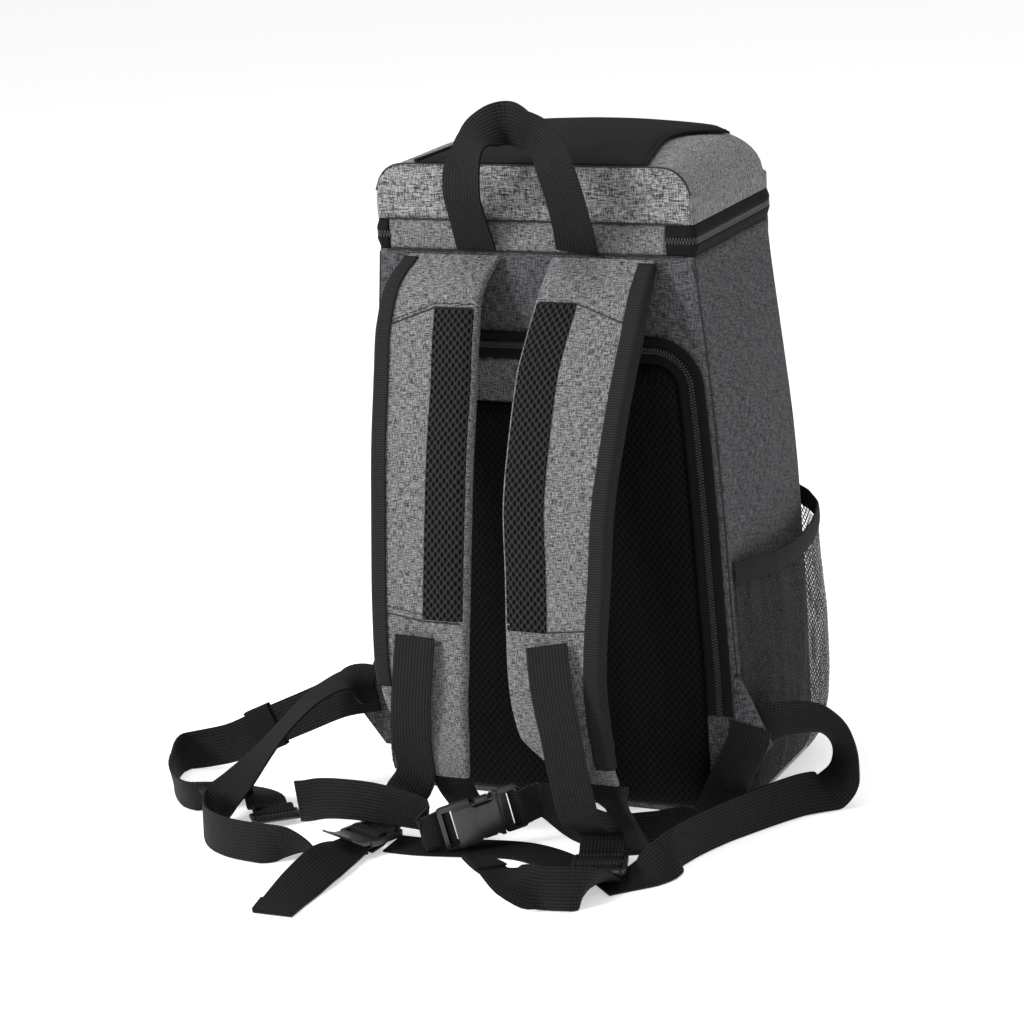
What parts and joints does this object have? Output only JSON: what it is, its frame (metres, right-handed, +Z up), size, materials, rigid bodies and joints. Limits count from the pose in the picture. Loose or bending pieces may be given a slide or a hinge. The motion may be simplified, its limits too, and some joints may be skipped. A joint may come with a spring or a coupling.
{
  "type": "cooler backpack",
  "caption": "Upright insulated backpack cooler with zipped padded lid, air-mesh back panel, net side pockets, padded shoulder straps, webbing waist belt and side-release buckle.",
  "frame": {"origin": "centre of the flat base, on the floor plane", "axes": "+X to the right as seen from the harness side; the harness side, which lies on the wearer's back, faces -Y; +Z up"},
  "size_m": [0.5168, 0.4351, 0.5131],
  "materials": {
    "heather_light": "light heather grey woven polyester",
    "heather_dark": "darker heather grey woven polyester",
    "black_fabric": "matte black coated fabric",
    "air_mesh": "black spacer mesh with rows of holes",
    "pocket_net": "fine black stretch net, partly see-through",
    "ribbed_binding": "dark grey ribbed binding tape",
    "webbing": "black woven webbing",
    "zip_black": "black woven zip tape with moulded coil teeth",
    "buckle_plastic": "dark moulded plastic with a soft sheen"
  },
  "bodies": {
    "root": {"body_shell": "heather_light", "back_mesh_panel": "air_mesh", "back_patch": "heather_light", "back_zip_tape": "zip_black", "back_zip_teeth": "zip_black", "side_pocket_left": "pocket_net", "side_pocket_right": "pocket_net", "pocket_binding_left": "ribbed_binding", "pocket_binding_right": "ribbed_binding", "corner_tab_left": "heather_dark", "corner_tab_right": "heather_dark", "lid_shell": "heather_dark", "lid_top_panel": "black_fabric", "lid_piping_left": "black_fabric", "lid_piping_right": "black_fabric", "hinge_band": "heather_light", "lid_zip_tape_lower": "zip_black", "lid_zip_tape_upper": "zip_black", "lid_zip_teeth": "zip_black", "lid_zip_slider": "zip_black", "grab_handle": "webbing", "shoulder_strap_left": "heather_light", "shoulder_strap_right": "heather_light", "strap_mesh_left": "air_mesh", "strap_mesh_right": "air_mesh", "strap_binding_left": "ribbed_binding", "strap_binding_right": "ribbed_binding", "strap_web_left": "webbing", "strap_web_right": "webbing", "strap_tip_web_left": "webbing", "strap_tip_web_right": "webbing", "ladder_lock_left": "buckle_plastic", "ladder_lock_right": "buckle_plastic", "adjuster_web_left": "webbing", "adjuster_web_right": "webbing", "adjuster_tail_left": "webbing", "adjuster_tail_right": "webbing", "belt_web_left": "webbing", "belt_keeper": "black_fabric", "belt_slider": "buckle_plastic", "belt_fold_left": "webbing", "buckle_male": "buckle_plastic", "buckle_female": "buckle_plastic", "belt_web_right": "webbing", "belt_tail_right": "webbing"}
  },
  "joints": []
}
